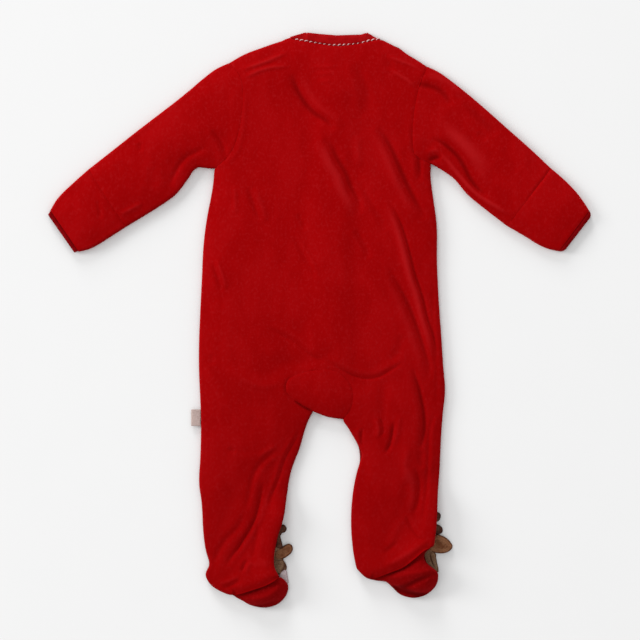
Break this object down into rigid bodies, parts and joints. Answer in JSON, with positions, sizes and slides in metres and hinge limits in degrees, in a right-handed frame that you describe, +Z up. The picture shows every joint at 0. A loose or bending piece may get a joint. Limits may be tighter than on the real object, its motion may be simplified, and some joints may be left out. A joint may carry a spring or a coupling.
{
  "type": "footed baby sleepsuit",
  "caption": "One-piece footed baby sleepsuit in velour, laid flat with its back up: long sleeves, turned cuffs, ribbed neck, rounded seat gusset and soft animal faces on the feet",
  "frame": {"origin": "middle of the garment's bounding box, on the surface that it lies on", "axes": "+Y runs up the garment from its feet to its neck, +X to the wearer's right arm, +Z up out of the back from the surface it lies on"},
  "size_m": [0.544, 0.5752, 0.0192],
  "materials": {
    "cloth_red": "velour with a short soft pile, soft sheen",
    "rib_red": "fine rib knit",
    "piping_stripe": "twisted two-colour cord",
    "label_tape": "plain woven tape, bare",
    "plush_face": "short plush",
    "plush_muzzle": "short plush",
    "plush_ear": "short plush",
    "plush_antler": "short plush"
  },
  "bodies": {
    "root": {"back_panel": "cloth_red", "gusset": "cloth_red", "front_left": "cloth_red", "front_right": "cloth_red", "sleeve_left": "cloth_red", "sleeve_right": "cloth_red", "cuff_left": "cloth_red", "cuff_right": "cloth_red", "cuff_trim_left": "rib_red", "cuff_trim_right": "rib_red", "neck_band": "rib_red", "neck_piping": "piping_stripe", "side_label": "label_tape", "foot_left": "cloth_red", "foot_right": "cloth_red", "sole_left": "cloth_red", "sole_right": "cloth_red", "head_left": "plush_face", "head_right": "plush_face", "muzzle_left": "plush_muzzle", "ear_left": "plush_ear", "ear_right": "plush_ear", "antler_left": "plush_antler", "antler_right": "plush_antler"}
  },
  "joints": []
}
